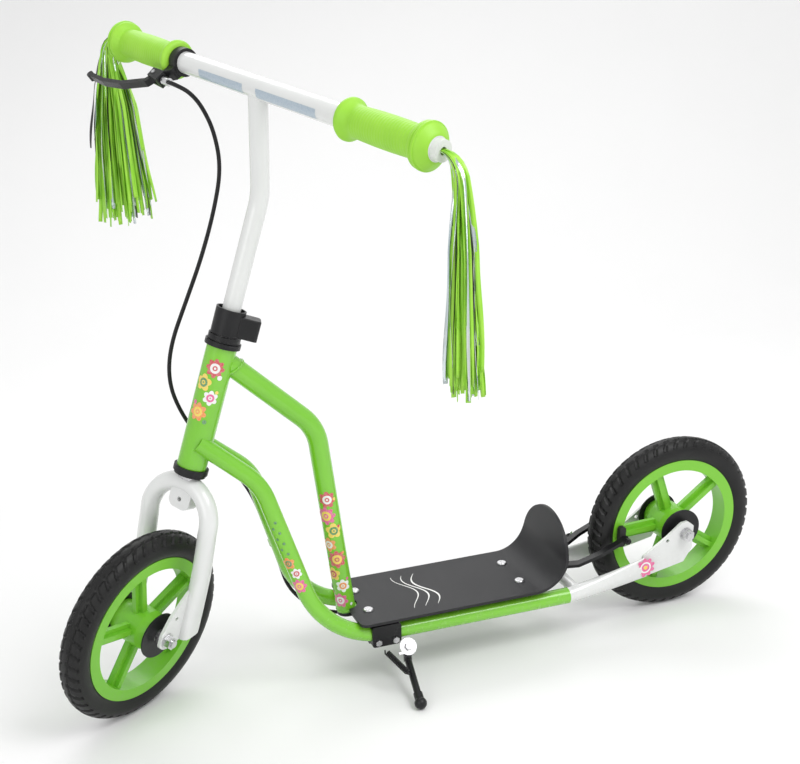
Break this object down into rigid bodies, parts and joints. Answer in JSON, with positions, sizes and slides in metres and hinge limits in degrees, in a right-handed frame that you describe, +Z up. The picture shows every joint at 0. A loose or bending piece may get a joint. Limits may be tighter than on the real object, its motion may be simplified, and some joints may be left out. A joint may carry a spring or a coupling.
{
  "type": "kick scooter",
  "caption": "Child's kick scooter with two spoked wheels, low deck, steerable fork, adjustable handlebar, hand brake and kickstand.",
  "frame": {"origin": "centre of the bounding box, at the ground under the wheels and the kickstand foot", "axes": "+X forward along the deck, +Y to the rider's left, +Z up"},
  "size_m": [0.9982, 0.6348, 0.8198],
  "materials": {
    "green_paint": "gloss",
    "green_plastic": "gloss",
    "white_paint": "gloss",
    "deck_plastic": "matte, fine grain",
    "tyre_rubber": "matte",
    "grip_rubber": "matte",
    "white_plastic": "satin",
    "black_plastic": "satin",
    "steel": "zinc plated",
    "black_metal": "satin",
    "cable_sheath": "satin",
    "pad_rubber": "matte",
    "alloy": "satin",
    "streamer_foil": "foil strips"
  },
  "bodies": {
    "frame": {"head_tube": "green_paint", "headset_cups": "black_plastic", "top_tube": "green_paint", "rail_left": "green_paint", "rail_right": "green_paint", "rear_stay_left": "white_paint", "rear_stay_right": "white_paint", "rear_bridge": "white_paint", "deck_crossbars": "black_metal", "deck": "deck_plastic", "deck_bolts": "steel", "cable_guides": "green_paint", "brake_cable_lower": "cable_sheath", "rear_axle": "steel", "rear_axle_nuts": "steel", "calliper_bolt": "steel", "kickstand_bracket": "black_metal", "kickstand_bolts": "steel", "kickstand_spring": "steel"},
    "rear_wheel": {"rear_tyre": "tyre_rubber", "rear_rim": "green_plastic", "rear_hub_caps": "black_plastic", "rear_bearings": "steel"},
    "left_brake_arm": {"calliper_arm_left": "black_metal", "brake_pad_left": "pad_rubber", "brake_wire": "steel"},
    "right_brake_arm": {"calliper_arm_right": "black_metal", "brake_pad_right": "pad_rubber"},
    "kickstand": {"kickstand_leg": "black_metal", "kickstand_disc": "steel", "kickstand_foot": "black_plastic"},
    "fork": {"steerer": "steel", "fork_arch": "white_paint", "crown_gusset": "white_paint", "fork_end_left": "white_paint", "fork_end_right": "white_paint", "headset_rings": "black_plastic", "stem_clamp": "steel", "clamp_cover": "black_plastic", "brake_cable_loop": "cable_sheath", "front_axle": "steel", "front_axle_nuts": "steel"},
    "front_wheel": {"front_tyre": "tyre_rubber", "front_rim": "green_plastic", "front_hub_caps": "black_plastic", "front_bearings": "steel"},
    "handlebar": {"stem": "white_paint", "handlebar": "white_paint", "grip_left": "grip_rubber", "grip_right": "grip_rubber", "end_plugs": "white_plastic", "lever_bracket": "black_plastic", "lever_screws": "steel", "cable_adjuster": "alloy", "brake_cable_upper": "cable_sheath", "tassel_left": "streamer_foil", "tassel_right": "streamer_foil"},
    "brake_lever": {"brake_lever": "black_metal"}
  },
  "joints": [
    {"name": "rear_wheel_spin", "type": "hinge", "parent": "frame", "child": "rear_wheel", "pos_m": [-0.37162, -0.03553, 0.12738], "axis": [0, 0.9988, -0.048], "continuous": true},
    {"name": "steering", "type": "hinge", "parent": "frame", "child": "fork", "pos_m": [0.30755, -0.02623, 0.32106], "axis": [-0.3107, 0.0456, 0.9494], "range_deg": [-116, 44], "deforming": ["brake_cable_loop"]},
    {"name": "front_wheel_spin", "type": "hinge", "parent": "fork", "child": "front_wheel", "pos_m": [0.3903, -0.02271, 0.12479], "axis": [-0.5587, 0.7993, -0.2212], "continuous": true},
    {"name": "bar_height", "type": "slide", "parent": "fork", "child": "handlebar", "axis": [-0.3107, 0.0456, 0.9494], "range_m": [-0.09, 0.035], "deforming": ["brake_cable_upper"]},
    {"name": "lever_pull", "type": "hinge", "parent": "handlebar", "child": "brake_lever", "pos_m": [0.28404, -0.1446, 0.76046], "axis": [-0.5717, -0.3316, -0.7505], "range_deg": [0, 14], "stiffness_Nm_per_rad": 0.8, "deforming": ["brake_wire"]},
    {"name": "left_arm_squeeze", "type": "hinge", "parent": "frame", "child": "left_brake_arm", "pos_m": [-0.19226, -0.03735, 0.08947], "axis": [0.3915, 0.0441, 0.9191], "range_deg": [0, 1.15]},
    {"name": "right_arm_squeeze", "type": "hinge", "parent": "frame", "child": "right_brake_arm", "pos_m": [-0.19018, -0.03712, 0.09434], "axis": [-0.3915, -0.0441, -0.9191], "range_deg": [0, 1.15]},
    {"name": "kickstand_fold", "type": "hinge", "parent": "frame", "child": "kickstand", "pos_m": [0.05532, 0.0282, 0.04736], "axis": [0.0005, 0.8279, 0.5609], "range_deg": [0, 90], "deforming": ["kickstand_spring"]}
  ],
  "couplings": [
    {"joint": "left_arm_squeeze", "follows": "lever_pull", "ratio": 0.082143},
    {"joint": "right_arm_squeeze", "follows": "lever_pull", "ratio": 0.082143}
  ]
}
